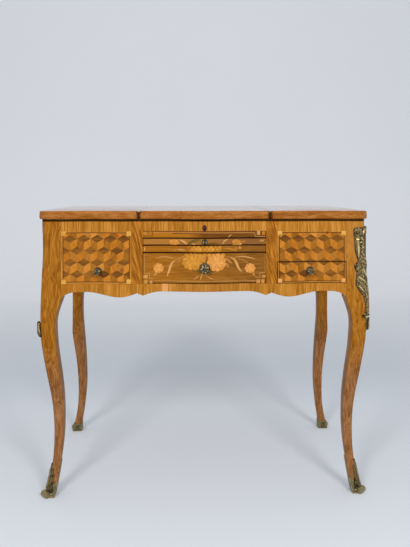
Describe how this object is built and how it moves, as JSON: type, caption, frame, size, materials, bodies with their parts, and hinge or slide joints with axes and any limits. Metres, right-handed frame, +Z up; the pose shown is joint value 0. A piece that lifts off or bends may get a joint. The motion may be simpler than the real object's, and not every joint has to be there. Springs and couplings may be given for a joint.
{
  "type": "dressing table",
  "caption": "Poudreuse dressing table on cabriole legs: three hinged lids over wells, one with a mirror, a pull-out slide, drawers, and cube and flower marquetry.",
  "frame": {"origin": "on the floor under the middle of the whole table", "axes": "+Z up, the front faces -Y, +X to the right as seen from the front"},
  "size_m": [0.892, 0.5174, 0.76],
  "materials": {
    "veneer_case": "golden brown veneer, polished",
    "veneer_lids": "reddish brown veneer, French polish",
    "cube_parquetry": "cube parquetry in three tones, polished",
    "flower_marquetry": "dark ground with pale flowers, polished",
    "oak_inside": "plain planed oak",
    "mirror_surround": "stained moulding",
    "bronze": "cast bronze, dark old patina",
    "hinge_brass": "brass, dulled",
    "mirror_glass": "silvered plate glass"
  },
  "bodies": {
    "case": {"back_panel": "veneer_case", "case_hinge_leaves": "hinge_brass", "centre_drawer_runners": "oak_inside", "corner_leaf_left": "bronze", "corner_mount_right": "bronze", "false_front_left": "cube_parquetry", "false_front_right": "cube_parquetry", "false_knob_left": "bronze", "front_apron": "veneer_case", "front_middle_rail": "flower_marquetry", "front_top_rail": "flower_marquetry", "hinge_pins": "hinge_brass", "keyhole_escutcheon": "hinge_brass", "leg_back_left": "veneer_case", "leg_back_right": "veneer_case", "leg_front_left": "veneer_case", "leg_front_right": "veneer_case", "lock_case": "hinge_brass", "partition_left": "oak_inside", "partition_right": "oak_inside", "right_drawer_runners": "oak_inside", "sabot_back_left": "bronze", "sabot_back_right": "bronze", "sabot_front_left": "bronze", "sabot_front_right": "bronze", "side_panel_left": "veneer_case", "side_panel_right": "veneer_case", "slide_bearers": "oak_inside", "stile_left": "veneer_case", "stile_right": "veneer_case", "well_floor_centre": "oak_inside", "well_floor_left": "oak_inside", "well_floor_right": "oak_inside"},
    "left_lid": {"lid_left": "veneer_lids", "lid_hinge_leaves_left": "hinge_brass"},
    "right_lid": {"lid_right": "veneer_lids", "lid_hinge_leaves_right": "hinge_brass"},
    "centre_lid": {"lid_centre": "veneer_lids", "lid_hinge_leaves_centre": "hinge_brass", "mirror_plate": "mirror_glass", "mirror_mouldings_ends": "mirror_surround", "mirror_mouldings_sides": "mirror_surround", "lock_keeper": "hinge_brass"},
    "bolt": {"lock_bolt": "hinge_brass"},
    "slide": {"slide_board": "oak_inside", "slide_front": "flower_marquetry", "slide_knob": "bronze"},
    "centre_drawer": {"centre_drawer_front": "flower_marquetry", "centre_drawer_side_left": "oak_inside", "centre_drawer_side_right": "oak_inside", "centre_drawer_back": "oak_inside", "centre_drawer_bottom": "oak_inside", "centre_drawer_knob": "bronze"},
    "right_drawer": {"right_drawer_front": "cube_parquetry", "right_drawer_side_left": "oak_inside", "right_drawer_side_right": "oak_inside", "right_drawer_back": "oak_inside", "right_drawer_bottom": "oak_inside", "right_drawer_knob": "bronze"}
  },
  "joints": [
    {"name": "left_lid_hinge", "type": "hinge", "parent": "case", "child": "left_lid", "pos_m": [-0.443, 0, 0.73785], "axis": [0, -1, 0], "range_deg": [0, 180]},
    {"name": "right_lid_hinge", "type": "hinge", "parent": "case", "child": "right_lid", "pos_m": [0.443, 0, 0.73785], "axis": [0, 1, 0], "range_deg": [0, 180]},
    {"name": "centre_lid_hinge", "type": "hinge", "parent": "case", "child": "centre_lid", "pos_m": [0, 0.25575, 0.73785], "axis": [-1, 0, 0], "range_deg": [0, 105]},
    {"name": "slide_pull", "type": "slide", "parent": "case", "child": "slide", "axis": [0, -1, 0], "range_m": [0, 0.24]},
    {"name": "centre_drawer_pull", "type": "slide", "parent": "case", "child": "centre_drawer", "axis": [0, -1, 0], "range_m": [0, 0.3]},
    {"name": "right_drawer_pull", "type": "slide", "parent": "case", "child": "right_drawer", "axis": [0, -1, 0], "range_m": [0, 0.3]},
    {"name": "bolt_throw", "type": "slide", "parent": "case", "child": "bolt", "axis": [0, 0, 1], "range_m": [0, 0.007]}
  ]
}
